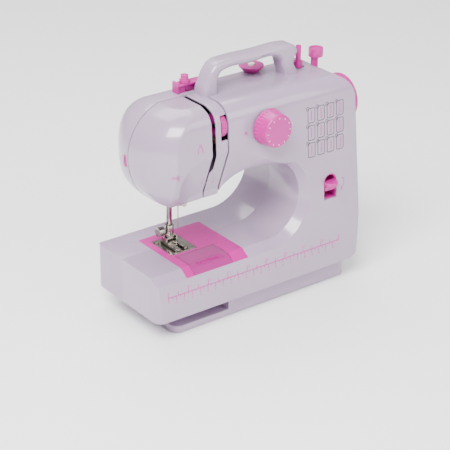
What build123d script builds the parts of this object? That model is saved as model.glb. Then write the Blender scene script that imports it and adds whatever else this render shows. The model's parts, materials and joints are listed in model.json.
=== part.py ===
from build123d import *
from math import copysign, cos, radians, sin, tan
import os

os.makedirs("parts", exist_ok=True)

# A small household sewing machine. Millimetres, x to the right (handwheel side), y to the back,
# z up. The origin is on the table, at the centre of the machine's footprint box.

# ---------------------------------------------------------------- driving dimensions
left_end = -141.5  # free end of the bed
right_wall = 132.5  # column's right wall where it meets the base
right_wall_top = 123.5  # the same wall at the top
front_face = -52.0  # front face at the height of the ruler line
rear_face = 61.0  # rear face at the bottom
face_tilt = 4.0  # front and rear faces lean inwards by this, in degrees
ruler_height = 51.5
bed_bottom = 24.5
bed_top = 74.0
bed_lip = 66.5  # lower edge of the bevel along the bed's front
body_top = 238.0
shoulder_r = 20.0
wall = 2.5
parting = 12.0  # plane where front and rear shells meet
gap = 0.15  # assembly gap between neighbouring mouldings

throat_x = 8.5  # centre of the throat's round right-hand end
throat_z = 118.0
throat_r = 44.0
mouth_r = 51.0
bevel_depth = 9.0
scoop_depth = 20.0  # hollow in the head's lower front
bevel_slope = (mouth_r - throat_r) / bevel_depth

head_left = -132.5
dome_x = -80.0  # centre of the head's dome
dome_y = 8.0
dome_z = 186.0
dome_length = dome_x - head_left
dome_half_depth = 60.0
dome_up = 54.0
dome_down = 60.0
head_bottom = 136.0
slot_left = -65.0  # take-up slot, between the head cover and the strip
slot_right = -60.0
strip_right = -46.0
arm_left = -44.5
head_right = arm_left + 0.5

shaft_y = -2.0  # main shaft, which carries the handwheel
shaft_z = 195.0
needle_x = -78.5
needle_y = 0.0
presser_y = 16.0
hook_x = -74.0
hook_y = -21.0
fit = 0.05  # radial running clearance of shafts

plate_left = -103.8  # bed plate
plate_right = -24.2
plate_rear = 37.5
plate_skin = 1.6
cover_left = -93.5  # sliding bobbin cover
cover_right = -43.5
cover_rear = -15.0
needle_plate_left = -95.0
needle_plate_right = -62.0
needle_plate_front = -12.0
needle_plate_rear = 27.0

dial_x = 4.5
dial_z = 206.0
dial_r = 19.5
dial_shaft_r = 5.0
window_x = 89.3  # window of the reverse lever
window_w = 17.6
window_bottom = 103.0
window_top = 132.0
tension_z = 216.0
tension_r = 13.0
tension_y = -28.5
winder_x = 84.0
winder_y = 7.5
winder_travel = 5.0
spindle_foot_r = 4.8
stopper_x = 107.0
stopper_y = 7.5
stopper_stem_r = 4.0
spool_x = 36.0
spool_y = 27.0
spool_pin_r = 3.5
hub_r = 8.0
wheel_r = 27.0
socket_z = 52.0
socket_y = (28.0, 42.0)
socket_r = 5.0
switch_y = 36.0
switch_z = (82.0, 110.0)
switch_w = 12.0
switch_h = 20.0
cutter_z = 181.0
lifter_z = 158.0

slot_step = 168.0  # the take-up slot is narrow below this height
tension_w = 7.0
tension_window = 13.0
handle_y = 4.0
handle_w = 21.0
handle_top = 272.0
plinth_left = -114.0
plinth_step = -44.0
plinth_right = 121.0
plinth_y = 3.0
plinth_depth = 94.0
foot_height = 8.3
foot_r = 6.0
foot_places = [(-102, -30), (-102, 36), (10, -30), (10, 36), (108, -30), (108, 36)]
screw_places = [(-120, 48), (-20, 48), (112, 48), (112, 150), (30, 200), (-100, 200)]
needle_plate_centre = (
    (needle_plate_left + needle_plate_right) / 2,
    (needle_plate_front + needle_plate_rear) / 2,
)
needle_plate_size = (
    needle_plate_right - needle_plate_left,
    needle_plate_rear - needle_plate_front,
)
plate_screw_places = [(needle_plate_left + 4, 22), (needle_plate_right - 4, 22)]
feed_y = 13.0
feed_top = 73.6
feed_row_w = 2.2
feed_row_l = 14.0
feed_pitch = 1.8
feed_slots = [(needle_x - 4.4, feed_y), (needle_x + 4.4, feed_y)]
hook_r = 19.0
bar_r = 3.0
bar_low = 124.0  # lower end of the needle bar
frame_low = 146.0
frame_high = 206.0
needle_tip = 95.5
take_up_x = -62.5
take_up_y = 8.0
take_up_z = 178.0
foot_low = bed_top + 0.5
foot_top = bed_top + 7.5
lifter_y = 27.0
dial_h = 18.1
tension_pin_r = 2.5
guide_x = -50.0
guide_y = 22.0
winder_deck = 232.0
winder_pin_r = 2.0
winder_top_r = 3.0
spool_lift = 32.0
shaft_r = 4.0
shaft_left = -71.0
bush_x = (-36.0, 84.0)
belt_x = 113.0
pulley_r = 25.0
timing_x = 101.0
timing_r = 10.0
lower_z = 40.5
lower_r = 3.0
lower_bush_x = (-56.0, 40.0)
lower_gear_r = 8.6
motor_x = 68.0
motor_y = 30.0
motor_z = 50.0
motor_pulley_r = 5.0
wheel_left = 127.5
wheel_right = 141.5
hook_gear_r = 10.0
bobbin_r = 10.4
lamp_x = -96.0  # lamp in the floor of the head
lamp_y = 2.0
lamp_r = 3.0
screw_r = 1.5
screw_head_r = 3.2
clear = 0.4  # air gap between bodies that pass each other


def finish(piece, name):
    piece.part.label = name
    export_step(piece.part, f"parts/{name}.step")


def face_y(height):
    return front_face + (height - ruler_height) * tan(radians(face_tilt))


def rear_y(height):
    return rear_face - (height - bed_bottom) * tan(radians(face_tilt))


def wall_x(height):
    # right wall, which leans inwards
    lean = (right_wall - right_wall_top) / (body_top - bed_bottom)
    return right_wall - (height - bed_bottom) * lean


face_plane = Plane(
    origin=(0, front_face, ruler_height),
    x_dir=(1, 0, 0),
    z_dir=(0, -cos(radians(face_tilt)), sin(radians(face_tilt))),
)


def on_face(x, height):
    return (x, (height - ruler_height) / cos(radians(face_tilt)))


# ---------------------------------------------------------------- forms shared by the shells
def side_form(inset):
    # the cross-section of column and arm, seen from the left, run along x
    rear_top = rear_face - (body_top - bed_bottom) * tan(radians(face_tilt))
    with BuildPart() as form:
        with BuildSketch(Plane.YZ) as section:
            with BuildLine():
                Polyline(
                    (face_y(bed_bottom), bed_bottom),
                    (face_y(body_top), body_top),
                    (rear_top, body_top),
                    (rear_face, bed_bottom),
                    close=True,
                )
            make_face()
            fillet(section.vertices().group_by(Axis.Y)[-1], shoulder_r)
            if inset:
                offset(amount=-inset)
        extrude(amount=160, both=True)
    return form.part


def housing_outline(inset):
    # bed, column and arm seen from the front
    with BuildPart() as form:
        with BuildSketch(Plane.XZ) as outline:
            with BuildLine():
                Polyline(
                    (left_end, bed_bottom),
                    (right_wall, bed_bottom),
                    (right_wall_top, body_top),
                    (arm_left - inset, body_top),
                    (arm_left - inset, bed_top),
                    (left_end, bed_top),
                    close=True,
                )
            make_face()
            fillet(outline.vertices().sort_by(Axis.X)[-1], 18)
            fillet(outline.vertices().group_by(Axis.Y)[-1].sort_by(Axis.X)[-1], 30)
            if inset:
                offset(amount=-inset, kind=Kind.INTERSECTION)
                with Locations((arm_left, (bed_top + body_top) / 2)):
                    Rectangle(4, body_top - bed_top - 2 * inset)
        extrude(amount=120, both=True)
    return form.part


def plan_form(inset):
    # rounded footprint of bed and column
    with BuildPart() as form:
        with BuildSketch(Plane.XY) as plan:
            front = face_y(bed_bottom)
            with Locations(((left_end + right_wall) / 2, (front + rear_face) / 2)):
                Rectangle(right_wall - left_end - 2 * inset, rear_face - front - 2 * inset)
            fillet(plan.vertices(), 10 - inset)
        extrude(amount=300)
    return form.part


def throat_form(grow):
    # the space under the arm: a round-ended tunnel with a bevelled mouth at the front
    with BuildPart() as form:
        with BuildSketch(Plane.XZ):
            with BuildLine():
                tunnel_bottom = (throat_x, throat_z - throat_r - grow)
                tunnel_top = (throat_x - 6, throat_z + throat_r + grow)
                tunnel_left = -47.5 - grow
                low_left = (tunnel_left, tunnel_bottom[1])
                high_left = (tunnel_left, head_bottom)
                Line(low_left, tunnel_bottom)
                ThreePointArc(tunnel_bottom, (throat_x + throat_r + grow, throat_z), tunnel_top)
                Spline(tunnel_top, (-28, 155 + grow), high_left, tangents=((-1, 0), (-0.6, -1)))
                Line(high_left, low_left)
            make_face()
        extrude(amount=90, both=True)
        with BuildSketch(face_plane.offset(2)):
            add(mouth_outline(-2 / scoop_depth, grow))
        with BuildSketch(face_plane.offset(-scoop_depth - grow)):
            add(mouth_outline(1 + grow / scoop_depth, grow))
        loft(ruled=True)
    return form.part


def mouth_outline(depth, grow):
    # edge of the bevelled mouth: depth 0 lies on the front face, depth 1 at the scoop's bottom;
    # it runs from the bed round the throat, along the arm and over the scoop in the head
    radius = mouth_r + grow - depth * scoop_depth * bevel_slope
    bottom = on_face(throat_x, throat_z - radius)
    right = on_face(throat_x + radius, throat_z)
    upper = on_face(throat_x + radius * cos(radians(52)), throat_z + radius * sin(radians(52)))
    scoop_end = on_face(-112.5 + 14 * depth - grow, 155 - 30 * depth)
    head_corner = on_face(-106 + 8 * depth - grow, 112)
    left_corner = on_face(left_end - 20, 110)
    bed_corner = on_face(left_end - 20, throat_z - radius)
    with BuildSketch() as outline:
        with BuildLine():
            Line(bed_corner, bottom)
            ThreePointArc(bottom, right, upper)
            Spline(
                upper,
                on_face(-14, 179 - 32 * depth + grow),
                on_face(arm_left, 190.5 - 45 * depth + grow),
                on_face(-68, 189.5 - 44 * depth + grow),
                on_face(-92 + 6 * depth - 0.5 * grow, 184 - 43 * depth + 0.8 * grow),
                on_face(-107 + 12 * depth - 0.9 * grow, 172 - 40 * depth + 0.3 * grow),
                scoop_end,
            )
            Line(scoop_end, head_corner)
            Line(head_corner, left_corner)
            Line(left_corner, bed_corner)
        make_face()
    return outline.sketch_local


def housing_form(inset):
    with BuildPart() as form:
        add(side_form(inset))
        add(housing_outline(inset), mode=Mode.INTERSECT)
        add(plan_form(inset), mode=Mode.INTERSECT)
        add(throat_form(inset), mode=Mode.SUBTRACT)
    return form.part


def dome_section(scale, inset):
    # rounded section across the head; the lower half is a little deeper than the upper one
    points = []
    for step in range(24):
        turn = radians(15 * step)
        height = dome_up if sin(turn) > 0 else dome_down
        along = copysign(abs(cos(turn)) ** (2 / 3), cos(turn))
        upward = copysign(abs(sin(turn)) ** (2 / 3), sin(turn))
        points.append(
            (
                dome_y + (dome_half_depth - inset) * scale * along,
                dome_z + (height - inset) * scale * upward,
            )
        )
    with BuildSketch() as outline:
        with BuildLine():
            Spline(*points, periodic=True)
        make_face()
    return outline.sketch_local


def dome_form(inset):
    # sections that shrink to the left as on an ellipsoid
    with BuildPart() as form:
        for angle in (0, 15, 30, 45, 60, 75, 86):
            turn = radians(angle)
            with BuildSketch(Plane.YZ.offset(dome_x - (dome_length - inset) * sin(turn))):
                add(dome_section(cos(turn), inset))
        loft()
        with BuildSketch(Plane.YZ.offset(dome_x)):
            add(dome_section(1, inset))
        extrude(amount=head_right - dome_x)
    return form.part


def head_form(inset):
    # the dome at the left, with the low skirt that holds the two bars
    with BuildPart() as form:
        add(side_form(inset))
        add(dome_form(inset), mode=Mode.INTERSECT)
        # level underside, and a front that draws back towards it
        with BuildSketch(Plane.YZ):
            with BuildLine():
                Polyline(
                    (-23 + inset, head_bottom + inset),
                    (80, head_bottom + inset),
                    (80, 300),
                    (-70, 300),
                    (-70, 190),
                    (face_y(190) + inset, 190),
                )
                Spline(
                    (face_y(190) + inset, 190),
                    (-40.5 + inset, 166),
                    (-34.5 + inset, 149),
                    (-23 + inset, head_bottom + inset),
                    tangents=((0, -1), (1, -0.6)),
                )
            make_face()
        extrude(amount=160, both=True, mode=Mode.INTERSECT)
        add(throat_form(inset), mode=Mode.SUBTRACT)
    return form.part


def arched_window(inset):
    # opening of the reverse lever, round at the top
    half = window_w / 2 - inset
    arch_z = window_top - window_w / 2
    with BuildSketch() as outline:
        with Locations((window_x, (window_bottom + inset + arch_z) / 2)):
            Rectangle(2 * half, arch_z - window_bottom - inset)
        with Locations((window_x, arch_z)):
            Circle(half)
    return outline.sketch_local


# ---------------------------------------------------------------- shells
outer_housing = housing_form(0)
inner_housing = housing_form(wall)

with BuildPart() as plate_block:
    # the skin of the bed that the bed plate takes the place of, wrapped over the front bevel
    add(outer_housing)
    add(housing_form(plate_skin), mode=Mode.SUBTRACT)
    with BuildSketch(Plane.XY.offset(bed_lip + 0.4)):
        with Locations(((plate_left + plate_right) / 2, plate_rear - 50)):
            RectangleRounded(plate_right - plate_left, 100, 2)
    extrude(amount=bed_top - bed_lip + 1, mode=Mode.INTERSECT)

with BuildPart() as bed_well:
    # opening in the bed under the bed plate, for hook and feed
    with BuildSketch(Plane.XY.offset(60)):
        with Locations(((cover_left + cover_right) / 2, -28)):
            Rectangle(cover_right - cover_left - 2, 32)
        with Locations((needle_x, 6)):
            Rectangle(17, 40)
    extrude(amount=20)

with BuildPart() as head_shell:
    add(head_form(0))
    add(head_form(wall), mode=Mode.SUBTRACT)
    with Locations((needle_x, (needle_y + presser_y) / 2, head_bottom)):
        Box(15, presser_y - needle_y + 17, 12, mode=Mode.SUBTRACT)
    with Locations((lamp_x, lamp_y, head_bottom)):
        Cylinder(lamp_r + 0.1, 12, mode=Mode.SUBTRACT)

with BuildPart() as front_housing:
    add(outer_housing)
    add(inner_housing, mode=Mode.SUBTRACT)
    with Locations((0, parting - gap - 100, 0)):
        Box(400, 200, 600, mode=Mode.INTERSECT)
    add(plate_block.part, mode=Mode.SUBTRACT)
    add(bed_well.part, mode=Mode.SUBTRACT)
    with BuildSketch(Plane.XZ):
        with Locations((dial_x, dial_z)):
            Circle(dial_shaft_r + 0.6)
        add(arched_window(0))
    extrude(amount=80, mode=Mode.SUBTRACT)
    with BuildSketch(Plane.YZ.offset(100)):
        with Locations((shaft_y, shaft_z)):
            Circle(hub_r + 0.6)
    extrude(amount=60, mode=Mode.SUBTRACT)
    with BuildSketch(Plane.XY.offset(body_top - 30)):
        with Locations((winder_x + winder_travel / 2, winder_y)):
            SlotOverall(2 * spindle_foot_r + winder_travel - 3, 2 * spindle_foot_r - 3)
        with Locations((stopper_x, stopper_y)):
            Circle(stopper_stem_r + fit)
    extrude(amount=40, mode=Mode.SUBTRACT)
finish(front_housing, "front_housing")

with BuildPart() as rear_housing:
    add(outer_housing)
    add(inner_housing, mode=Mode.SUBTRACT)
    add(head_shell.part)
    with Locations((0, parting + 100, 0)):
        Box(400, 200, 600, mode=Mode.INTERSECT)
    add(plate_block.part, mode=Mode.SUBTRACT)
    add(bed_well.part, mode=Mode.SUBTRACT)
    with Locations((head_left + 2, parting + 5, cutter_z)):
        Box(12, 4.4, 12.4, mode=Mode.SUBTRACT)
    with BuildSketch(Plane.YZ.offset(110)):
        with Locations(*[(y, socket_z) for y in socket_y]):
            Circle(socket_r + 0.1)
        with Locations(*[(switch_y, z) for z in switch_z]):
            Rectangle(switch_w + 0.2, switch_h + 0.2)
    extrude(amount=40, mode=Mode.SUBTRACT)
    with BuildSketch(Plane.XY.offset(body_top - 30)):
        with Locations((spool_x, spool_y)):
            Circle(spool_pin_r + 1.2)
    extrude(amount=40, mode=Mode.SUBTRACT)
    with Locations((needle_x, rear_face, lifter_z - 4)):
        Box(9, 50, 34, mode=Mode.SUBTRACT)
    # screw bosses behind the rear wall and under the needle plate
    with Locations(*[Location((x, rear_y(z) - 1.2, z), (90, 0, 0)) for x, z in screw_places]):
        Cylinder(5.5, 11, align=(Align.CENTER, Align.CENTER, Align.MIN))
        Cylinder(screw_r + 0.1, 30, mode=Mode.SUBTRACT)
    with Locations(*[Location((x, rear_y(z) - 2.8, z), (-90, 0, 0)) for x, z in screw_places]):
        Cylinder(screw_head_r + 0.1, 10, align=(Align.CENTER, Align.CENTER, Align.MIN), mode=Mode.SUBTRACT)
    with Locations(*[(x, y, bed_top - plate_skin) for x, y in plate_screw_places]):
        Cylinder(3.4, 7, align=(Align.CENTER, Align.CENTER, Align.MAX))
        Cylinder(1.6, 20, mode=Mode.SUBTRACT)
finish(rear_housing, "rear_housing")

with BuildPart() as head_cover:
    add(head_shell.part)
    with Locations((slot_left - 100, parting - gap - 100, 200)):
        Box(200, 200, 300, mode=Mode.INTERSECT)
finish(head_cover, "head_cover")

with BuildPart() as tension_cover:
    # strip between the two slots of the head, wider below the take-up slot's wide part
    add(head_shell.part)
    with BuildSketch(Plane.XZ.offset(-parting + gap)):
        with BuildLine():
            Polyline(
                (slot_left + 1, head_bottom - 5),
                (slot_left + 1, slot_step),
                (slot_right, slot_step + 4),
                (slot_right, body_top + 5),
                (strip_right, body_top + 5),
                (strip_right, head_bottom - 5),
                close=True,
            )
        make_face()
    extrude(amount=100, mode=Mode.INTERSECT)
    with Locations((strip_right, tension_y - 20, tension_z)):
        Box(2 * tension_w + 1.6, 40, 2 * tension_window, mode=Mode.SUBTRACT)
finish(tension_cover, "tension_cover")

with BuildPart() as carry_handle:
    with BuildSketch(Plane.XZ.offset(-handle_y)) as outline:
        with BuildLine():
            Line((-50, body_top), (-49, 246))
            Spline(
                (-49, 246),
                (-41, 262),
                (-24, handle_top - 1),
                (0, handle_top),
                tangents=((0.1, 1), (1, 0)),
            )
            Line((0, handle_top), (60, handle_top))
            Spline(
                (60, handle_top),
                (73, 262),
                (67, 253),
                (70.5, 246),
                (75, body_top),
                tangents=((1, 0), (0.4, -1)),
            )
            Line((75, body_top), (-50, body_top))
        make_face()
        with BuildLine():
            Polyline((-31, body_top - 1), (-31, 262), (50, 262), (57, body_top - 1), close=True)
        make_face(mode=Mode.SUBTRACT)
        fillet(outline.vertices().filter_by_position(Axis.Y, 261, 263), 7)
    extrude(amount=handle_w / 2, both=True)
finish(carry_handle, "carry_handle")

# ---------------------------------------------------------------- base
with BuildPart() as base_plinth:
    with BuildSketch(Plane.XY.offset(0.8)):
        with Locations(((plinth_left + plinth_right) / 2, plinth_y)):
            RectangleRounded(plinth_right - plinth_left, plinth_depth, 10)
    extrude(amount=bed_bottom - 0.8)
    # the gap under the free arm, above the low foot
    with BuildSketch(Plane.XZ.offset(-100)):
        with Locations((plinth_step - 100, foot_height + 50)):
            Rectangle(200, 100)
    extrude(amount=200, mode=Mode.SUBTRACT)
    fillet(base_plinth.edges().group_by(Axis.Z)[0], 1)
    with BuildSketch(Plane.XY.offset(foot_height)):
        with Locations(((plinth_step + plinth_right) / 2, plinth_y)):
            RectangleRounded(plinth_right - plinth_step - 8, plinth_depth - 8, 6)
    extrude(amount=bed_bottom, mode=Mode.SUBTRACT)
    with Locations(*foot_places):
        Cylinder(foot_r + 0.1, 6, mode=Mode.SUBTRACT)
finish(base_plinth, "base_plinth")

with BuildPart() as rubber_feet:
    with Locations(*foot_places):
        Cylinder(foot_r, 3, align=(Align.CENTER, Align.CENTER, Align.MIN))
finish(rubber_feet, "rubber_feet")

with BuildPart() as housing_screws:
    # screws in deep seats in the back, holding the two shells together
    with Locations(*[Location((x, rear_y(z) - 1.5, z), (90, 0, 0)) for x, z in screw_places]):
        Cylinder(screw_head_r, 2.4)
        Cylinder(screw_r, 10, align=(Align.CENTER, Align.CENTER, Align.MIN))
    with Locations(*[Location((x, rear_y(z) - 0.4, z), (90, 0, 0)) for x, z in screw_places]):
        Box(0.8, 5, 1.4, mode=Mode.SUBTRACT)
        Box(5, 0.8, 1.4, mode=Mode.SUBTRACT)
finish(housing_screws, "housing_screws")

# ---------------------------------------------------------------- bed fittings
with BuildPart() as bed_plate:
    add(plate_block.part)
    with BuildSketch(Plane.XY.offset(bed_lip - 5)):
        with Locations(((cover_left + cover_right) / 2, cover_rear - 30)):
            Rectangle(cover_right - cover_left, 60)
        with Locations(needle_plate_centre):
            Rectangle(needle_plate_size[0], needle_plate_size[1])
    extrude(amount=30, mode=Mode.SUBTRACT)
finish(bed_plate, "bed_plate")

with BuildPart() as bobbin_cover:
    add(plate_block.part)
    with BuildSketch(Plane.XY.offset(bed_lip - 5)):
        with Locations(((cover_left + cover_right) / 2, cover_rear - 30.3)):
            RectangleRounded(cover_right - cover_left - 2 * clear, 60, 1)
    extrude(amount=30, mode=Mode.INTERSECT)
    # finger slot near the front edge
    with Locations(((cover_left + cover_right) / 2, -40, bed_top)):
        Box(30, 3, 1.4, mode=Mode.SUBTRACT)
finish(bobbin_cover, "bobbin_cover")

with BuildPart() as needle_plate:
    with BuildSketch(Plane.XY.offset(bed_top - plate_skin)):
        with Locations(needle_plate_centre):
            RectangleRounded(needle_plate_size[0] - 0.4, needle_plate_size[1] - 0.4, 2)
        with Locations((needle_x, needle_y)):
            SlotOverall(8, 2.4, mode=Mode.SUBTRACT)
        with Locations(*feed_slots):
            Rectangle(feed_row_w + 1.4, feed_row_l + 4.4, mode=Mode.SUBTRACT)
        with Locations(*plate_screw_places):
            Circle(1.6, mode=Mode.SUBTRACT)
    extrude(amount=plate_skin - 0.1)
finish(needle_plate, "needle_plate")

with BuildPart() as needle_plate_screws:
    with Locations(*[(x, y, bed_top - 5) for x, y in plate_screw_places]):
        Cylinder(1.55, 5.2, align=(Align.CENTER, Align.CENTER, Align.MIN))
    with Locations(*[(x, y, bed_top + 0.3) for x, y in plate_screw_places]):
        Cylinder(2.8, 0.8)
    with Locations(*[(x, y, bed_top + 0.6) for x, y in plate_screw_places]):
        Box(6, 0.6, 0.7, mode=Mode.SUBTRACT)
finish(needle_plate_screws, "needle_plate_screws")

with BuildPart() as feed_dog:
    with Locations((needle_x, feed_y, feed_top - 7)):
        Box(14, 20, 3)
    for x, y in feed_slots:
        with Locations((x, y, feed_top - 3)):
            Box(feed_row_w, feed_row_l, 6)
        with BuildSketch(Plane.YZ.offset(x)):
            with Locations(*[(y + (i - 3.5) * feed_pitch, feed_top) for i in range(8)]):
                Triangle(a=feed_pitch, B=60, C=60, rotation=180)
        extrude(amount=feed_row_w, both=True, mode=Mode.SUBTRACT)
    with Locations((needle_x, feed_y + 4, feed_top - 14)):
        Box(8, 6, 12)
finish(feed_dog, "feed_dog")

# ---------------------------------------------------------------- hook and bobbin
with BuildPart() as hook_race:
    with BuildSketch(Plane.XY.offset(52)):
        with Locations((hook_x, hook_y)):
            Circle(hook_r + 3)
            Circle(hook_r + clear, mode=Mode.SUBTRACT)
    extrude(amount=6)
    with BuildSketch(Plane.XY.offset(bed_bottom + wall)):
        with Locations((hook_x - hook_r - 1.9, hook_y), (hook_x + hook_r + 1.9, hook_y)):
            Rectangle(2.2, 10)
    extrude(amount=26)
finish(hook_race, "hook_race")

with BuildPart() as rotating_hook:
    with BuildSketch(Plane.XY.offset(50)):
        with Locations((hook_x, hook_y)):
            Circle(hook_r)
    extrude(amount=16)
    with BuildSketch(Plane.XY.offset(52)):
        with Locations((hook_x, hook_y)):
            Circle(hook_r - 2.6)
    extrude(amount=20, mode=Mode.SUBTRACT)
    # the hook's point is left by a notch in the rim
    with Locations((hook_x + 12, hook_y + 15, 64)):
        Box(14, 10, 5, mode=Mode.SUBTRACT)
    with Locations((hook_x, hook_y, 30)):
        Cylinder(3, 21, align=(Align.CENTER, Align.CENTER, Align.MIN))
    # driven gear under the hook
    with BuildSketch(Plane.XY.offset(36)):
        with Locations((hook_x, hook_y)):
            Circle(hook_gear_r - 1)
            with PolarLocations(hook_gear_r - 1, 20):
                Rectangle(2, 1.5)
    extrude(amount=9)
finish(rotating_hook, "rotating_hook")

with BuildPart() as bobbin_case:
    with BuildSketch(Plane.XY.offset(52 + clear)):
        with Locations((hook_x, hook_y)):
            Circle(hook_r - 2.6 - clear)
    extrude(amount=16)
    with BuildSketch(Plane.XY.offset(54)):
        with Locations((hook_x, hook_y)):
            Circle(bobbin_r + 1)
    extrude(amount=20, mode=Mode.SUBTRACT)
    with Locations((hook_x, hook_y, 53)):
        Cylinder(2.4, 8, align=(Align.CENTER, Align.CENTER, Align.MIN))
finish(bobbin_case, "bobbin_case")

with BuildPart() as bobbin:
    with BuildSketch(Plane.XY.offset(54.4)):
        with Locations((hook_x, hook_y)):
            Circle(bobbin_r)
            with PolarLocations(7.2, 6):
                Circle(1.4, mode=Mode.SUBTRACT)
    extrude(amount=0.9)
    with Locations((hook_x, hook_y, 54.4)):
        Cylinder(4.2, 11.6, align=(Align.CENTER, Align.CENTER, Align.MIN))
    with BuildSketch(Plane.XY.offset(65.1)):
        with Locations((hook_x, hook_y)):
            Circle(bobbin_r)
            with PolarLocations(7.2, 6):
                Circle(1.4, mode=Mode.SUBTRACT)
    extrude(amount=0.9)
    with Locations((hook_x, hook_y, 54)):
        Cylinder(3, 14, align=(Align.CENTER, Align.CENTER, Align.MIN), mode=Mode.SUBTRACT)
finish(bobbin, "bobbin")


# ---------------------------------------------------------------- drive
def along_x(x, y, z):
    return Location((x, y, z), (0, 90, 0))


with BuildPart() as main_shaft:
    with Locations(along_x(shaft_left, shaft_y, shaft_z)):
        Cylinder(shaft_r, 140 - shaft_left, align=(Align.CENTER, Align.CENTER, Align.MIN))
    # crank with its counterweight, and the pin that drives the needle bar
    with BuildSketch(Plane.YZ.offset(shaft_left)):
        with Locations((shaft_y, shaft_z)):
            Circle(8)
        with Locations((shaft_y, shaft_z + 9)):
            Rectangle(9, 12)
        with Locations((shaft_y, shaft_z - 11)):
            RectangleRounded(22, 12, 4)
    extrude(amount=4)
    with Locations(along_x(shaft_left - 2, shaft_y, shaft_z + 11)):
        Cylinder(2, 3, align=(Align.CENTER, Align.CENTER, Align.MIN))
finish(main_shaft, "main_shaft")

with BuildPart() as main_shaft_bushes:
    # bearing blocks reach back to the rear shell
    for x in bush_x:
        with Locations((x, (45 - 9 + shaft_y) / 2, shaft_z)):
            Box(10, 45 + 9 - shaft_y, 16)
        with Locations(along_x(x, shaft_y, shaft_z)):
            Cylinder(shaft_r + fit, 12, mode=Mode.SUBTRACT)
finish(main_shaft_bushes, "main_shaft_bushes")

with BuildPart() as drive_pulley:
    # belt pulley and timing pulley in one piece on the main shaft
    with BuildSketch(Plane.YZ.offset(belt_x - 5)):
        with Locations((shaft_y, shaft_z)):
            Circle(pulley_r + 2)
            with PolarLocations(pulley_r / 2 + 3, 6):
                Circle(5, mode=Mode.SUBTRACT)
    extrude(amount=10)
    with BuildSketch(Plane.YZ.offset(belt_x - 3.2)):
        with Locations((shaft_y, shaft_z)):
            Circle(pulley_r + 3)
            Circle(pulley_r, mode=Mode.SUBTRACT)
    extrude(amount=6.4, mode=Mode.SUBTRACT)
    with Locations(along_x(timing_x - 4, shaft_y, shaft_z)):
        Cylinder(timing_r, 8, align=(Align.CENTER, Align.CENTER, Align.MIN))
        Cylinder(hub_r, belt_x - timing_x, align=(Align.CENTER, Align.CENTER, Align.MIN))
    with Locations(along_x(timing_x - 6, shaft_y, shaft_z)):
        Cylinder(shaft_r, 40, align=(Align.CENTER, Align.CENTER, Align.MIN), mode=Mode.SUBTRACT)
finish(drive_pulley, "drive_pulley")

with BuildPart() as lower_shaft:
    # shaft with the timing pulley at one end and the gear of the hook at the other
    with Locations(along_x(hook_x - 8, shaft_y, lower_z)):
        Cylinder(lower_r, timing_x + 8 - hook_x + 8, align=(Align.CENTER, Align.CENTER, Align.MIN))
    with Locations(along_x(timing_x - 4, shaft_y, lower_z)):
        Cylinder(timing_r, 8, align=(Align.CENTER, Align.CENTER, Align.MIN))
    with BuildSketch(Plane.YZ.offset(hook_x - 4)):
        with Locations((shaft_y, lower_z)):
            Circle(lower_gear_r - 1)
            with PolarLocations(lower_gear_r - 1, 16):
                Rectangle(2, 1.5)
    extrude(amount=8)
finish(lower_shaft, "lower_shaft")

with BuildPart() as lower_bushes:
    # bearings of the lower shaft and of the hook, standing on the shell's floor
    for x in lower_bush_x:
        with Locations((x, shaft_y, bed_bottom + wall)):
            Box(10, 14, lower_z + 7 - bed_bottom - wall, align=(Align.CENTER, Align.CENTER, Align.MIN))
        with Locations(along_x(x, shaft_y, lower_z)):
            Cylinder(lower_r + fit, 12, mode=Mode.SUBTRACT)
    with Locations((hook_x, hook_y, bed_bottom + wall)):
        Cylinder(7, 8.5, align=(Align.CENTER, Align.CENTER, Align.MIN))
    with Locations((hook_x, hook_y, 29.5)):
        Cylinder(3 + fit, 10, align=(Align.CENTER, Align.CENTER, Align.MIN), mode=Mode.SUBTRACT)
finish(lower_bushes, "lower_bushes")

with BuildPart() as motor:
    with Locations(along_x(motor_x, motor_y, motor_z)):
        Cylinder(17, 42)
        Cylinder(7, 48)
    with Locations((motor_x, motor_y, bed_bottom + wall)):
        Box(26, 30, motor_z - 15 - bed_bottom - wall, align=(Align.CENTER, Align.CENTER, Align.MIN))
    with Locations(along_x(motor_x, motor_y, motor_z)):
        Cylinder(2.05, 60, mode=Mode.SUBTRACT)
finish(motor, "motor")

with BuildPart() as motor_pulley:
    with Locations(along_x(motor_x - 18, motor_y, motor_z)):
        Cylinder(2, belt_x + 6 - motor_x + 18, align=(Align.CENTER, Align.CENTER, Align.MIN))
    with Locations(along_x(belt_x, motor_y, motor_z)):
        Cylinder(motor_pulley_r + 2, 10)
    with BuildSketch(Plane.YZ.offset(belt_x - 3.2)):
        with Locations((motor_y, motor_z)):
            Circle(motor_pulley_r + 3)
            Circle(motor_pulley_r, mode=Mode.SUBTRACT)
    extrude(amount=6.4, mode=Mode.SUBTRACT)
finish(motor_pulley, "motor_pulley")


def belt_loop(grow):
    # hull of the two pulley circles
    with BuildSketch() as loop:
        with Locations((shaft_y, shaft_z)):
            Circle(pulley_r + grow)
        with Locations((motor_y, motor_z)):
            Circle(motor_pulley_r + grow)
        make_hull()
    return loop.sketch_local


with BuildPart() as drive_belts:
    # motor belt, and timing belt between the two shafts
    with BuildSketch(Plane.YZ.offset(belt_x - 2)):
        add(belt_loop(clear + 1.2))
        add(belt_loop(clear), mode=Mode.SUBTRACT)
    extrude(amount=4)
    with BuildSketch(Plane.YZ.offset(timing_x - 3)):
        with Locations((shaft_y, (shaft_z + lower_z) / 2)):
            SlotCenterToCenter(shaft_z - lower_z, 2 * (timing_r + clear + 1.2), rotation=90)
            SlotCenterToCenter(shaft_z - lower_z, 2 * (timing_r + clear), rotation=90, mode=Mode.SUBTRACT)
    extrude(amount=6)
finish(drive_belts, "drive_belts")

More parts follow.
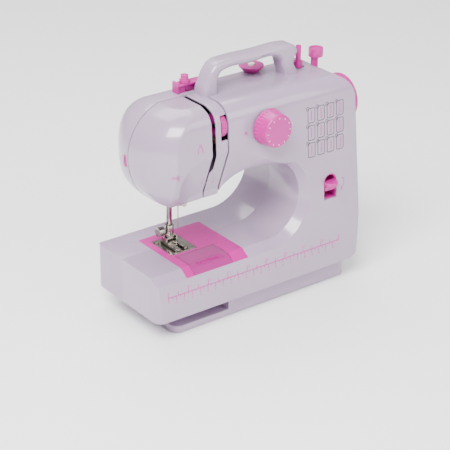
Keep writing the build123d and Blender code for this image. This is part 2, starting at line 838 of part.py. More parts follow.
with BuildPart() as handwheel:
    with BuildSketch(Plane.YZ.offset(wheel_left)):
        with Locations((shaft_y, shaft_z)):
            Circle(wheel_r)
    extrude(amount=wheel_right - wheel_left)
    fillet(handwheel.edges().group_by(Axis.X)[-1], 3)
    fillet(handwheel.edges().group_by(Axis.X)[0], 1.5)
    with BuildSketch(Plane.YZ.offset(wheel_right - 4)):
        with Locations((shaft_y, shaft_z)):
            Circle(wheel_r - 6)
            Circle(10, mode=Mode.SUBTRACT)
    extrude(amount=5, mode=Mode.SUBTRACT)
    with Locations(along_x(118, shaft_y, shaft_z)):
        Cylinder(hub_r, wheel_left - 118 + 1, align=(Align.CENTER, Align.CENTER, Align.MIN))
    with BuildSketch(Plane.YZ.offset(wheel_left + 2)):
        with Locations((shaft_y, shaft_z)):
            with PolarLocations(wheel_r + 0.6, 36):
                Circle(1.2)
    extrude(amount=wheel_right - wheel_left - 6, mode=Mode.SUBTRACT)
    with Locations(along_x(100, shaft_y, shaft_z)):
        Cylinder(shaft_r, 40, align=(Align.CENTER, Align.CENTER, Align.MIN), mode=Mode.SUBTRACT)
finish(handwheel, "handwheel")


# ---------------------------------------------------------------- head mechanism
with BuildPart() as head_frame:
    # casting that guides the two bars and holds the pins of lifter and take-up lever
    with Locations((needle_x + 3, 30, 175)):
        Box(36, 4, 70)
    with Locations((needle_x, 30, lifter_z + 1)):
        Box(12, 6, 28, mode=Mode.SUBTRACT)
    for z in (frame_low, frame_high):
        with Locations((needle_x - 1, 12, z)):
            Box(11, 34, 8)
    for x, y, z in ((needle_x - 10, 46, 200), (needle_x + 12, 46, 200), (needle_x - 10, 49.6, 146)):
        with Locations((x, y, z)):
            Box(6, y - 31, 6, align=(Align.CENTER, Align.MAX, Align.CENTER))
    with Locations((needle_x, needle_y, 175), (needle_x, presser_y, 175)):
        Cylinder(bar_r + fit, 90, mode=Mode.SUBTRACT)
    for side in (-1, 1):
        with Locations((needle_x + side * 6.4, lifter_y + 1, lifter_z)):
            Box(4, 12, 8)
    with Locations(along_x(needle_x, lifter_y, lifter_z)):
        Cylinder(2, 16)
    with Locations(along_x(take_up_x - 3, take_up_y, take_up_z)):
        Cylinder(2.5, 7, align=(Align.CENTER, Align.CENTER, Align.MIN))
    with Locations((take_up_x + 3.5, take_up_y - 4, take_up_z)):
        Box(3, 27, 8, align=(Align.CENTER, Align.MIN, Align.CENTER))
finish(head_frame, "head_frame")

with BuildPart() as needle_bar:
    with Locations((needle_x, needle_y, bar_low)):
        Cylinder(bar_r, 104, align=(Align.CENTER, Align.CENTER, Align.MIN))
    with Locations((needle_x, needle_y, bar_low)):
        Cylinder(0.95, 12, align=(Align.CENTER, Align.CENTER, Align.MIN), mode=Mode.SUBTRACT)
finish(needle_bar, "needle_bar")

with BuildPart() as needle_clamp:
    with Locations((needle_x, needle_y, bar_low + 1)):
        Cylinder(5, 8, align=(Align.CENTER, Align.CENTER, Align.MIN))
    with Locations((needle_x, needle_y - 4, bar_low + 1)):
        Box(5, 6, 8, align=(Align.CENTER, Align.CENTER, Align.MIN))
    with Locations((needle_x, needle_y, bar_low)):
        Cylinder(bar_r, 12, align=(Align.CENTER, Align.CENTER, Align.MIN), mode=Mode.SUBTRACT)
finish(needle_clamp, "needle_clamp")

with BuildPart() as needle_clamp_screw:
    with Locations(Location((needle_x, needle_y - 7, bar_low + 5), (90, 0, 0))):
        Cylinder(3, 5, align=(Align.CENTER, Align.CENTER, Align.MIN))
finish(needle_clamp_screw, "needle_clamp_screw")

with BuildPart() as needle:
    with Locations((needle_x, needle_y, needle_tip + 26)):
        Cylinder(0.9, 14, align=(Align.CENTER, Align.CENTER, Align.MIN))
    with Locations((needle_x, needle_y, needle_tip + 6)):
        Cylinder(0.55, 20, align=(Align.CENTER, Align.CENTER, Align.MIN))
    with Locations((needle_x, needle_y, needle_tip)):
        Cone(0.12, 0.55, 6, align=(Align.CENTER, Align.CENTER, Align.MIN))
    # eye
    with Locations((needle_x, needle_y, needle_tip + 7)):
        Box(0.35, 3, 1.4, mode=Mode.SUBTRACT)
finish(needle, "needle")

with BuildPart() as needle_thread_guide:
    with BuildLine() as wire:
        Spline(
            (needle_x - 5.7, needle_y, bar_low + 6),
            (needle_x - 12, needle_y + 4, bar_low + 1),
            (needle_x - 13, needle_y + 4, bar_low - 8),
        )
    with BuildSketch(Plane(wire.wires()[0] @ 0, z_dir=wire.wires()[0] % 0)):
        Circle(0.6)
    sweep()
finish(needle_thread_guide, "needle_thread_guide")

with BuildPart() as take_up_lever:
    # flat lever in the take-up slot with the thread eye at its end
    with BuildSketch(Plane.YZ.offset(take_up_x - 0.8)):
        with BuildLine():
            Polyline(
                (take_up_y + 4, take_up_z - 4),
                (take_up_y + 4, take_up_z + 4),
                (-34, take_up_z + 13),
                (-37, take_up_z + 9),
                (-34, take_up_z + 6),
                close=True,
            )
        make_face()
        with Locations((take_up_y, take_up_z)):
            Circle(6)
            Circle(2.5 + fit, mode=Mode.SUBTRACT)
        with Locations((-32.5, take_up_z + 9.5)):
            Circle(1.2, mode=Mode.SUBTRACT)
    extrude(amount=1.6)
finish(take_up_lever, "take_up_lever")

with BuildPart() as presser_bar:
    with Locations((needle_x, presser_y, foot_top + 5)):
        Cylinder(bar_r, 127, align=(Align.CENTER, Align.CENTER, Align.MIN))
    with Locations((needle_x, presser_y, lifter_z - 6)):
        Cylinder(5, 6, align=(Align.CENTER, Align.CENTER, Align.MIN))
finish(presser_bar, "presser_bar")

with BuildPart() as presser_spring:
    with BuildSketch(Plane.XY.offset(lifter_z)):
        with Locations((needle_x, presser_y)):
            Circle(5)
            Circle(4.2, mode=Mode.SUBTRACT)
    extrude(amount=frame_high - 4 - lifter_z)
finish(presser_spring, "presser_spring")

with BuildPart() as presser_lifter:
    # lever behind the head that raises the presser bar
    with Locations(along_x(needle_x, lifter_y, lifter_z)):
        Cylinder(5, 6)
        Cylinder(2 + fit, 8, mode=Mode.SUBTRACT)
    with Locations((needle_x, lifter_y + 16, lifter_z - 4)):
        Box(6, 26, 5)
    with Locations((needle_x, 57.6, lifter_z - 5)):
        Box(12, 6.4, 8)
    with Locations(along_x(needle_x, lifter_y, lifter_z)):
        Cylinder(2 + fit, 8, mode=Mode.SUBTRACT)
finish(presser_lifter, "presser_lifter")

with BuildPart() as presser_ankle:
    with Locations((needle_x, presser_y, foot_top + 2)):
        Cylinder(4.6, 11, align=(Align.CENTER, Align.CENTER, Align.MIN))
    with Locations((needle_x, presser_y, foot_top + 5)):
        Cylinder(bar_r, 11, align=(Align.CENTER, Align.CENTER, Align.MIN), mode=Mode.SUBTRACT)
    # lug that the foot's pin turns in
    with Locations((needle_x, presser_y - 1, foot_low + 5)):
        Box(9, 4.8, 5, align=(Align.CENTER, Align.CENTER, Align.MIN))
    with Locations(along_x(needle_x, presser_y - 1, foot_low + 5)):
        Cylinder(2.4, 9)
        Cylinder(1.2 + fit, 20, mode=Mode.SUBTRACT)
finish(presser_ankle, "presser_ankle")

with BuildPart() as presser_thumb_screw:
    with Locations(along_x(needle_x - 4.6, presser_y, foot_top + 8)):
        Cylinder(1.6, 4, rotation=(0, 180, 0), align=(Align.CENTER, Align.CENTER, Align.MIN))
    with Locations(along_x(needle_x - 15, presser_y, foot_top + 8)):
        Cylinder(5, 7, align=(Align.CENTER, Align.CENTER, Align.MIN))
finish(presser_thumb_screw, "presser_thumb_screw")

with BuildPart() as presser_foot:
    # two long toes, open between them for the needle
    with BuildSketch(Plane.XY.offset(foot_low)):
        with Locations((needle_x, presser_y - 9)):
            RectangleRounded(17, 30, 3)
        with Locations((needle_x, presser_y - 20)):
            RectangleRounded(5, 20, 2, mode=Mode.SUBTRACT)
    extrude(amount=2.2)
    with Locations((needle_x, presser_y - 1, foot_low + 3.5)):
        with GridLocations(13, 0, 2, 1):
            Box(2, 8, 7)
    with Locations(along_x(needle_x, presser_y - 1, foot_low + 5)):
        Cylinder(1.2, 15)
finish(presser_foot, "presser_foot")

# ---------------------------------------------------------------- controls
dial_base_y = face_y(dial_z - dial_r) - 0.35
with BuildPart() as stitch_dial:
    with Locations(Location((dial_x, dial_base_y, dial_z), (90, 0, 0))):
        Cone(dial_r, dial_r - 2.2, dial_h, align=(Align.CENTER, Align.CENTER, Align.MIN))
    fillet(stitch_dial.edges().group_by(Axis.Y)[0], 2)
    with BuildSketch(Plane.XZ.offset(-dial_base_y + 2)):
        with Locations((dial_x, dial_z)):
            with PolarLocations(dial_r + 0.2, 30):
                Circle(1.3)
    extrude(amount=dial_h - 6, mode=Mode.SUBTRACT)
finish(stitch_dial, "stitch_dial")

with BuildPart() as stitch_cam:
    with Locations(Location((dial_x, dial_base_y, dial_z), (-90, 0, 0))):
        Cylinder(dial_shaft_r, 22, align=(Align.CENTER, Align.CENTER, Align.MIN))
    with BuildSketch(Plane.XZ.offset(30)):
        with Locations((dial_x, dial_z)):
            Circle(14)
            with PolarLocations(14, 12):
                Circle(1.6)
            Circle(dial_shaft_r, mode=Mode.SUBTRACT)
    extrude(amount=4)
finish(stitch_cam, "stitch_cam")

with BuildPart() as cam_bracket:
    # carries the inner end of the dial shaft, fixed to the rear shell above the main shaft
    with Locations((dial_x, 11.5, 222)):
        Box(14, 62, 4)
    with Locations((dial_x, -21, 210)):
        Box(14, 4, 27)
    with Locations(Location((dial_x, -21, dial_z), (90, 0, 0))):
        Cylinder(dial_shaft_r + fit, 12, mode=Mode.SUBTRACT)
finish(cam_bracket, "cam_bracket")

with BuildPart() as reverse_lever:
    lever_z = window_top - 13.5
    lever_y = face_y(lever_z)
    with Locations((window_x, lever_y, lever_z)):
        Box(window_w - 3.6, 16, 10)
    fillet(reverse_lever.edges().filter_by(Axis.X).group_by(Axis.Y)[0], 3)
finish(reverse_lever, "reverse_lever")

with BuildPart() as lever_window:
    # pocket-shaped liner behind the front wall, slotted for the lever's stem
    with BuildSketch(Plane.XZ.offset(-face_y(window_bottom) - 2.2)):
        add(arched_window(0.2))
    extrude(amount=-16)
    with BuildSketch(Plane.XZ.offset(-face_y(window_bottom) + 3)):
        add(arched_window(1.2))
    extrude(amount=-19.6, mode=Mode.SUBTRACT)
finish(lever_window, "lever_window")

with BuildPart() as tension_wheel:
    with BuildSketch(Plane.YZ.offset(strip_right - tension_w)):
        with Locations((tension_y, tension_z)):
            Circle(tension_r)
            with PolarLocations(tension_r + 0.4, 30):
                Circle(1.0, mode=Mode.SUBTRACT)
            Circle(tension_pin_r + fit, mode=Mode.SUBTRACT)
    extrude(amount=tension_w - 0.6)
finish(tension_wheel, "tension_wheel")

with BuildPart() as tension_spindle:
    # fixed spindle with the two thread discs
    with Locations(along_x(strip_right - tension_w - 2, tension_y, tension_z)):
        Cylinder(tension_pin_r, tension_w + 10, align=(Align.CENTER, Align.CENTER, Align.MIN))
    with Locations(along_x(strip_right + 2.4, tension_y, tension_z)):
        Cylinder(8, 0.8)
    with Locations(along_x(strip_right + 4.2, tension_y, tension_z)):
        Cylinder(8, 0.8)
    with Locations((strip_right + 7.5, tension_y - 4, tension_z)):
        Box(4, 43.5 - tension_y + 4, 8, align=(Align.CENTER, Align.MIN, Align.CENTER))
finish(tension_spindle, "tension_spindle")

with BuildPart() as upper_thread_guide:
    with Locations((guide_x, guide_y, body_top + 4)):
        Box(34, 8, 8)
    with Locations((guide_x - 16, guide_y - 1, body_top + 6)):
        Box(2, 10, 12)
    with Locations((guide_x + 1, guide_y - 1.5, body_top + 9)):
        Box(36, 11, 2)
    with Locations((guide_x - 6, guide_y - 2, body_top)):
        Cylinder(2 + fit, 40, mode=Mode.SUBTRACT)
finish(upper_thread_guide, "upper_thread_guide")

with BuildPart() as pretension_knob:
    with Locations((guide_x - 6, guide_y - 2, body_top + 3)):
        Cylinder(2, 12, align=(Align.CENTER, Align.CENTER, Align.MIN))
    with Locations((guide_x - 6, guide_y - 2, body_top + 10.2)):
        Cylinder(5.5, 3, align=(Align.CENTER, Align.CENTER, Align.MIN))
    with Locations((guide_x - 6, guide_y - 2, body_top + 13.2)):
        Cylinder(4, 5, align=(Align.CENTER, Align.CENTER, Align.MIN))
finish(pretension_knob, "pretension_knob")

with BuildPart() as winder_slide:
    # block under the top wall that carries the winder spindle sideways
    with BuildSketch(Plane.XY.offset(winder_deck - 8)):
        with Locations((winder_x, winder_y)):
            RectangleRounded(24, 18, 3)
            Circle(winder_pin_r + fit, mode=Mode.SUBTRACT)
    extrude(amount=8)
finish(winder_slide, "winder_slide")

with BuildPart() as winder_spindle:
    with Locations((winder_x, winder_y, winder_deck - 14)):
        Cylinder(winder_pin_r, 14 + body_top - winder_deck + 8, align=(Align.CENTER, Align.CENTER, Align.MIN))
    with Locations((winder_x, winder_y, body_top + 0.5)):
        Cylinder(spindle_foot_r, 7, align=(Align.CENTER, Align.CENTER, Align.MIN))
    with Locations((winder_x, winder_y, body_top + 7.5)):
        Cylinder(winder_top_r, 17, align=(Align.CENTER, Align.CENTER, Align.MIN))
    with Locations((winder_x, winder_y, body_top + 24.5)):
        Box(10, 0.8, 8, mode=Mode.SUBTRACT)
finish(winder_spindle, "winder_spindle")

with BuildPart() as winder_stopper:
    with Locations((stopper_x, stopper_y, body_top - 12)):
        Cylinder(stopper_stem_r, 21, align=(Align.CENTER, Align.CENTER, Align.MIN))
    with Locations((stopper_x + 1.5, stopper_y, body_top + 8)):
        Cylinder(8, 9, align=(Align.CENTER, Align.CENTER, Align.MIN))
    with Locations((stopper_x + 1.5, stopper_y, body_top + 16)):
        Cylinder(5.6, 2, align=(Align.CENTER, Align.CENTER, Align.MIN), mode=Mode.SUBTRACT)
finish(winder_stopper, "winder_stopper")

with BuildPart() as spool_holder:
    with BuildSketch(Plane.XZ.offset(-spool_y)):
        with BuildLine():
            Polyline(
                (spool_x + spool_pin_r + 0.3, body_top + 0.1),
                (spool_x + 8, body_top + 0.1),
                (spool_x + 13.5, body_top + 6),
                (spool_x + 13.5, body_top + 7.5),
                (spool_x + spool_pin_r + 0.3, body_top + 7.5),
                close=True,
            )
        make_face()
    revolve(axis=Axis((spool_x, spool_y, 0), (0, 0, 1)))
    with BuildSketch(Plane.XY.offset(body_top - 20)):
        with Locations((spool_x, spool_y)):
            Circle(spool_pin_r + 1.1)
            Circle(spool_pin_r + fit, mode=Mode.SUBTRACT)
    extrude(amount=22)
finish(spool_holder, "spool_holder")

with BuildPart() as spool_pin:
    # pulled up to carry a spool, pushed down for storage
    with Locations((spool_x, spool_y, body_top + 9 - spool_lift - 14)):
        Cylinder(spool_pin_r, spool_lift + 14, align=(Align.CENTER, Align.CENTER, Align.MIN))
finish(spool_pin, "spool_pin")

# ---------------------------------------------------------------- electrics and small fittings
with BuildPart() as thread_cutter:
    with Locations((head_left + 2.4, parting + 5, cutter_z)):
        Box(5, 4, 12)
    with Locations((head_left, parting + 5, cutter_z + 1)):
        Box(3, 1, 6, mode=Mode.SUBTRACT)
finish(thread_cutter, "thread_cutter")

with BuildPart() as needle_lamp:
    with Locations((lamp_x, lamp_y, head_bottom + 0.4)):
        Cylinder(lamp_r, 10, align=(Align.CENTER, Align.CENTER, Align.MIN))
finish(needle_lamp, "needle_lamp")

with BuildPart() as circuit_board:
    with Locations((76, 48, 118)):
        Box(34, 1.6, 46)
    with Locations((70, 44.6, 126), (84, 44.6, 104)):
        Box(10, 5.2, 12)
finish(circuit_board, "circuit_board")

with BuildPart() as inlet_sockets:
    for y in socket_y:
        with Locations(along_x(wall_x(socket_z) - 12, y, socket_z)):
            Cylinder(socket_r, 12.4, align=(Align.CENTER, Align.CENTER, Align.MIN))
        with Locations(along_x(wall_x(socket_z) - 8, y, socket_z)):
            Cylinder(3, 12, align=(Align.CENTER, Align.CENTER, Align.MIN), mode=Mode.SUBTRACT)
            Cylinder(1, 7, align=(Align.CENTER, Align.CENTER, Align.MIN))
finish(inlet_sockets, "inlet_sockets")

with BuildPart() as switch_frames:
    for z in switch_z:
        with Locations((wall_x(z) - 4, switch_y, z)):
            Box(10, switch_w, switch_h)
    for z in switch_z:
        with Locations((wall_x(z) - 4, switch_y, z)):
            Box(12, switch_w - 3, switch_h - 3, mode=Mode.SUBTRACT)
finish(switch_frames, "switch_frames")

for switch_name, z in zip(("speed_switch", "power_switch"), switch_z):
    with BuildPart() as rocker:
        with BuildSketch(Plane.XZ.offset(-switch_y)):
            with BuildLine():
                Polyline(
                    (wall_x(z) - 6, z - 4),
                    (wall_x(z) + 0.5, z - 7.5),
                    (wall_x(z) + 1.5, z - 7.5),
                    (wall_x(z) + 0.6, z),
                    (wall_x(z) + 1.5, z + 7.5),
                    (wall_x(z) + 0.5, z + 7.5),
                    (wall_x(z) - 6, z + 4),
                    close=True,
                )
            make_face()
        extrude(amount=(switch_w - 4) / 2, both=True)
    finish(rocker, switch_name)
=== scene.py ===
import json
import math

import bmesh
import bpy
from mathutils import Matrix, Vector
from mathutils.bvhtree import BVHTree


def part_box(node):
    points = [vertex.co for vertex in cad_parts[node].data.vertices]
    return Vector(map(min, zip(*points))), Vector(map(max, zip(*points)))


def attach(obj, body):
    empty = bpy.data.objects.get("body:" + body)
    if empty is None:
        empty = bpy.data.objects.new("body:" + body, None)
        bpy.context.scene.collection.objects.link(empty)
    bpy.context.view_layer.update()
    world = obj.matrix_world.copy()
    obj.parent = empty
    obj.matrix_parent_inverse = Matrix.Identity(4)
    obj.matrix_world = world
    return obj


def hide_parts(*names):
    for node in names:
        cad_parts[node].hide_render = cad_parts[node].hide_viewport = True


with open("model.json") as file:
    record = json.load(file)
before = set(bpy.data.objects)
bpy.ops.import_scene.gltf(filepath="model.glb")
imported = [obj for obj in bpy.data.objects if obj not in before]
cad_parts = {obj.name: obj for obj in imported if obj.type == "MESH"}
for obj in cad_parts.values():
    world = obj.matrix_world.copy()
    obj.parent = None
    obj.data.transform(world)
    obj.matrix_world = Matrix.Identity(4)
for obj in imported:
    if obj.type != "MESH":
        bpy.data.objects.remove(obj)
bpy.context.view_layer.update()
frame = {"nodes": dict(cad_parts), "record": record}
nodes = frame["nodes"]
mm = 0.001


def setInput(node, name, value):
    node.inputs[name].default_value = value


def newMaterial(name):
    material = bpy.data.materials.new(name)
    material.use_nodes = True
    tree = material.node_tree
    shader = tree.nodes["Principled BSDF"]
    place = tree.nodes.new("ShaderNodeTexCoord")
    return material, tree, shader, place


def addNoise(tree, place, scale, detail=3.0, stretch=None):
    noise = tree.nodes.new("ShaderNodeTexNoise")
    setInput(noise, "Scale", scale)
    setInput(noise, "Detail", detail)
    if stretch:
        mapping = tree.nodes.new("ShaderNodeMapping")
        setInput(mapping, "Scale", stretch)
        tree.links.new(place.outputs["Object"], mapping.inputs["Vector"])
        tree.links.new(mapping.outputs["Vector"], noise.inputs["Vector"])
    else:
        tree.links.new(place.outputs["Object"], noise.inputs["Vector"])
    return noise


def addRange(tree, source, low, high):
    spread = tree.nodes.new("ShaderNodeMapRange")
    setInput(spread, "From Min", 0.3)
    setInput(spread, "From Max", 0.7)
    setInput(spread, "To Min", low)
    setInput(spread, "To Max", high)
    tree.links.new(source, spread.inputs["Value"])
    return spread.outputs["Result"]


def addBlend(tree, source, first, second):
    blend = tree.nodes.new("ShaderNodeMix")
    blend.data_type = "RGBA"
    blend.inputs[6].default_value = (*first, 1)
    blend.inputs[7].default_value = (*second, 1)
    tree.links.new(source, blend.inputs["Factor"])
    return blend.outputs[2]


def addBump(tree, shader, source, strength, distance):
    bump = tree.nodes.new("ShaderNodeBump")
    setInput(bump, "Strength", strength)
    setInput(bump, "Distance", distance)
    tree.links.new(source, bump.inputs["Height"])
    tree.links.new(bump.outputs["Normal"], shader.inputs["Normal"])


def mouldedPlastic(name, colour, shade, rough, grain=0.08, coat=0.0, clear=0.0):
    material, tree, shader, place = newMaterial(name)
    cloud = addNoise(tree, place, 14, 2)
    wear = addNoise(tree, place, 160, 4)
    skin = addNoise(tree, place, 2600, 2)
    cloudFactor = addRange(tree, cloud.outputs["Fac"], 0, 1)
    tree.links.new(addBlend(tree, cloudFactor, colour, shade), shader.inputs["Base Color"])
    tree.links.new(
        addRange(tree, wear.outputs["Fac"], rough * 0.85, rough * 1.2), shader.inputs["Roughness"]
    )
    addBump(tree, shader, skin.outputs["Fac"], grain, 0.0001)
    setInput(shader, "Coat Weight", coat)
    setInput(shader, "Coat Roughness", 0.08)
    setInput(shader, "Transmission Weight", clear)
    return material


def machinedMetal(name, colour, shade, rough, stretch, grain=0.15):
    material, tree, shader, place = newMaterial(name)
    brush = addNoise(tree, place, 300, 5, stretch)
    stain = addNoise(tree, place, 90, 3)
    stainFactor = addRange(tree, stain.outputs["Fac"], 0, 1)
    tree.links.new(addBlend(tree, stainFactor, colour, shade), shader.inputs["Base Color"])
    tree.links.new(
        addRange(tree, brush.outputs["Fac"], rough * 0.7, rough * 1.4), shader.inputs["Roughness"]
    )
    addBump(tree, shader, brush.outputs["Fac"], grain, 0.00008)
    setInput(shader, "Metallic", 1.0)
    return material


def printedInk(name, colour, shade):
    material, tree, shader, place = newMaterial(name)
    dots = addNoise(tree, place, 1400, 3)
    inkFactor = addRange(tree, dots.outputs["Fac"], 0, 1)
    tree.links.new(addBlend(tree, inkFactor, colour, shade), shader.inputs["Base Color"])
    tree.links.new(addRange(tree, dots.outputs["Fac"], 0.35, 0.55), shader.inputs["Roughness"])
    addBump(tree, shader, dots.outputs["Fac"], 0.1, 0.00005)
    return material


finishes = {
    "shell": mouldedPlastic(
        "lilac_gloss", (0.36, 0.272, 0.385), (0.338, 0.254, 0.364), rough=0.22, grain=0.04, coat=0.5
    ),
    "pink": mouldedPlastic(
        "pink_gloss", (0.46, 0.004, 0.235), (0.41, 0.003, 0.21), rough=0.32, grain=0.08, coat=0.15
    ),
    "clear_cover": mouldedPlastic(
        "clear_pink", (0.38, 0.02, 0.21), (0.34, 0.018, 0.19), rough=0.12, grain=0.03, coat=0.4, clear=0.15
    ),
    "plated": machinedMetal(
        "nickel_plate", (0.42, 0.39, 0.35), (0.31, 0.29, 0.26), rough=0.18, stretch=(1, 1, 6)
    ),
    "steel": machinedMetal(
        "ground_steel", (0.30, 0.30, 0.31), (0.22, 0.22, 0.235), rough=0.28, stretch=(1, 8, 8)
    ),
    "cast": machinedMetal(
        "die_cast", (0.45, 0.45, 0.46), (0.36, 0.36, 0.37), rough=0.5, stretch=(1, 1, 1), grain=0.4
    ),
    "sintered": machinedMetal(
        "sintered_bronze", (0.42, 0.30, 0.16), (0.33, 0.23, 0.12), rough=0.45, stretch=(1, 1, 1), grain=0.4
    ),
    "engineering_plastic": mouldedPlastic(
        "natural_nylon", (0.72, 0.70, 0.64), (0.66, 0.64, 0.58), rough=0.42, grain=0.2
    ),
    "black_plastic": mouldedPlastic(
        "black_plastic", (0.012, 0.012, 0.013), (0.02, 0.02, 0.021), rough=0.4, grain=0.3
    ),
    "rubber": mouldedPlastic("rubber", (0.015, 0.015, 0.015), (0.03, 0.03, 0.03), rough=0.75, grain=0.5),
    "board": mouldedPlastic("circuit_green", (0.02, 0.13, 0.05), (0.015, 0.09, 0.04), rough=0.35, grain=0.3),
    "lamp_lens": mouldedPlastic(
        "lamp_lens", (0.85, 0.84, 0.78), (0.78, 0.77, 0.70), rough=0.1, grain=0.05, coat=0.2, clear=0.5
    ),
}
pinkInk = printedInk("pink_ink", (0.48, 0.003, 0.25), (0.43, 0.003, 0.23))
greyInk = printedInk("grey_ink", (0.02, 0.017, 0.024), (0.035, 0.03, 0.04))
paleInk = printedInk("pale_ink", (0.84, 0.80, 0.84), (0.78, 0.74, 0.79))
print("materials made:", len(bpy.data.materials))


def creaseTree():
    # smooth faces, broken only where two faces meet at a real corner
    tree = bpy.data.node_groups.new("creaseByAngle", "GeometryNodeTree")
    tree.interface.new_socket("Geometry", in_out="INPUT", socket_type="NodeSocketGeometry")
    tree.interface.new_socket("Angle", in_out="INPUT", socket_type="NodeSocketFloat")
    tree.interface.new_socket("Geometry", in_out="OUTPUT", socket_type="NodeSocketGeometry")
    inputs = tree.nodes.new("NodeGroupInput")
    output = tree.nodes.new("NodeGroupOutput")
    between = tree.nodes.new("GeometryNodeInputMeshEdgeAngle")
    isFlat = tree.nodes.new("FunctionNodeCompare")
    isFlat.operation = "LESS_THAN"
    smooth = tree.nodes.new("GeometryNodeSetShadeSmooth")
    smooth.domain = "EDGE"
    tree.links.new(between.outputs["Unsigned Angle"], isFlat.inputs[0])
    tree.links.new(inputs.outputs["Angle"], isFlat.inputs[1])
    tree.links.new(isFlat.outputs["Result"], smooth.inputs["Shade Smooth"])
    tree.links.new(inputs.outputs["Geometry"], smooth.inputs["Geometry"])
    tree.links.new(smooth.outputs["Geometry"], output.inputs["Geometry"])
    return tree


def addCreases(item, angle):
    corners = item.modifiers.new("corners", "NODES")
    corners.node_group = crease
    for socket in crease.interface.items_tree:
        if socket.in_out == "INPUT" and socket.name == "Angle":
            corners[socket.identifier] = math.radians(angle)


cadFinish = {
    "softEdge": 0.55 * mm,
    "softAngle": 32,
    "segments": 3,
    "creaseAngle": 26,
    "rounding": 1.2 * mm,
    "roundingAngle": 55,
    "roundingSegments": 4,
    "weld": 0.002 * mm,
    "thinShare": 0.08,  # an edge is never softer than this share of the piece
    "mouldings": ["bed_plate", "bobbin_cover", "front_housing", "rear_housing"],
}
crease = creaseTree()
slotOf = {part["node"]: part["material_slot"] for part in frame["record"]["subparts"]}
for nodeName, node in nodes.items():
    node.data.materials.clear()
    node.data.materials.append(finishes[slotOf[nodeName]])
    for polygon in node.data.polygons:
        polygon.use_smooth = True
    weld = node.modifiers.new("weld", "WELD")
    weld.merge_threshold = cadFinish["weld"]
    low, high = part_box(nodeName)
    if nodeName in cadFinish["mouldings"]:
        rounding = node.modifiers.new("rounding", "BEVEL")
        rounding.width = cadFinish["rounding"]
        rounding.segments = cadFinish["roundingSegments"]
        rounding.limit_method = "ANGLE"
        rounding.angle_limit = math.radians(cadFinish["roundingAngle"])
        rounding.use_clamp_overlap = True
        addCreases(node, cadFinish["creaseAngle"])
        continue
    edge = node.modifiers.new("softEdge", "BEVEL")
    edge.width = min(cadFinish["softEdge"], min(high - low) * cadFinish["thinShare"])
    edge.segments = cadFinish["segments"]
    edge.limit_method = "ANGLE"
    edge.angle_limit = math.radians(cadFinish["softAngle"])
    edge.use_clamp_overlap = True
    edge.harden_normals = True
print("frame nodes finished:", len(nodes))


def addObject(name, mesh, material, body):
    item = bpy.data.objects.new(name, mesh)
    bpy.context.scene.collection.objects.link(item)
    mesh.materials.clear()
    mesh.materials.append(material)
    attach(item, body)
    return item


def meshFrom(item):
    graph = bpy.context.evaluated_depsgraph_get()
    mesh = bpy.data.meshes.new_from_object(item.evaluated_get(graph))
    bpy.data.objects.remove(item)
    return mesh


def smoothShell(nodeName, voxel, rounds):
    # a copy of a thin moulding with soft, drawn edges all over
    source = nodes[nodeName]
    copyMesh = source.data.copy()
    form = bmesh.new()
    form.from_mesh(copyMesh)
    bmesh.ops.remove_doubles(form, verts=form.verts, dist=cadFinish["weld"])
    form.to_mesh(copyMesh)
    form.free()
    item = bpy.data.objects.new("draft_" + nodeName, copyMesh)
    bpy.context.scene.collection.objects.link(item)
    remesh = item.modifiers.new("remesh", "REMESH")
    remesh.mode = "VOXEL"
    remesh.voxel_size = voxel
    remesh.use_smooth_shade = True
    smooth = item.modifiers.new("smooth", "SMOOTH")
    smooth.factor = 0.5
    smooth.iterations = rounds
    mesh = meshFrom(item)
    for polygon in mesh.polygons:
        polygon.use_smooth = True
    piece = addObject(nodeName + "_moulding", mesh, finishes["shell"], "machine")
    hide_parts(nodeName)
    print(nodeName, "softened:", len(mesh.polygons), "faces")
    return piece


headFinish = {"voxel": 0.75 * mm, "rounds": 14}
stripFinish = {"voxel": 0.6 * mm, "rounds": 6}
smoothShell("head_cover", headFinish["voxel"], headFinish["rounds"])
smoothShell("tension_cover", stripFinish["voxel"], stripFinish["rounds"])

# carrying handle, rounded along every edge
handle = {
    "middleY": 4 * mm,
    "width": 21 * mm,
    "round": 4.6 * mm,
    "outside": [
        (-50, 238), (-49, 246), (-45.5, 253), (-41.5, 261), (-37, 266.8), (-31, 270.8), (-23, 272),
        (20, 272), (60, 272), (67.5, 270), (72.3, 265), (72.5, 260.5), (69.6, 257), (68, 252.5),
        (70, 246.5), (75, 238),
    ],
    "inside": [
        (57, 238), (53, 250), (50, 257.5), (44, 261.8), (10, 262), (-22, 262), (-28.5, 259), (-31, 252),
        (-31, 238),
    ],
    "foot": 232,
    "weld": 0.01 * mm,
}


def handleMesh():
    curve = bpy.data.curves.new("handleLine", "CURVE")
    curve.dimensions = "2D"
    curve.fill_mode = "BOTH"
    outside, inside, foot = handle["outside"], handle["inside"], handle["foot"]
    outer = [(outside[0][0], foot), *outside, (outside[-1][0], foot)]
    loop = [*outer, (inside[0][0], foot), *inside, (inside[-1][0], foot)]
    corners = {0, len(outside) + 1, len(outside) + 2, len(loop) - 1}
    spline = curve.splines.new("BEZIER")
    spline.bezier_points.add(len(loop) - 1)
    for index, (x, z) in enumerate(loop):
        point = spline.bezier_points[index]
        point.co = (x * mm, z * mm, 0)
        kind = "VECTOR" if index in corners else "AUTO"
        point.handle_left_type = point.handle_right_type = kind
    spline.use_cyclic_u = True
    curve.resolution_u = 6
    curve.extrude = handle["width"] / 2 - handle["round"]
    curve.bevel_depth = handle["round"]
    curve.bevel_resolution = 5
    curve.offset = -handle["round"]
    item = bpy.data.objects.new("handleDraft", curve)
    bpy.context.scene.collection.objects.link(item)
    mesh = meshFrom(item)
    upright = Matrix.Rotation(math.radians(90), 4, "X")
    mesh.transform(Matrix.Translation((0, handle["middleY"], 0)) @ upright)
    return mesh


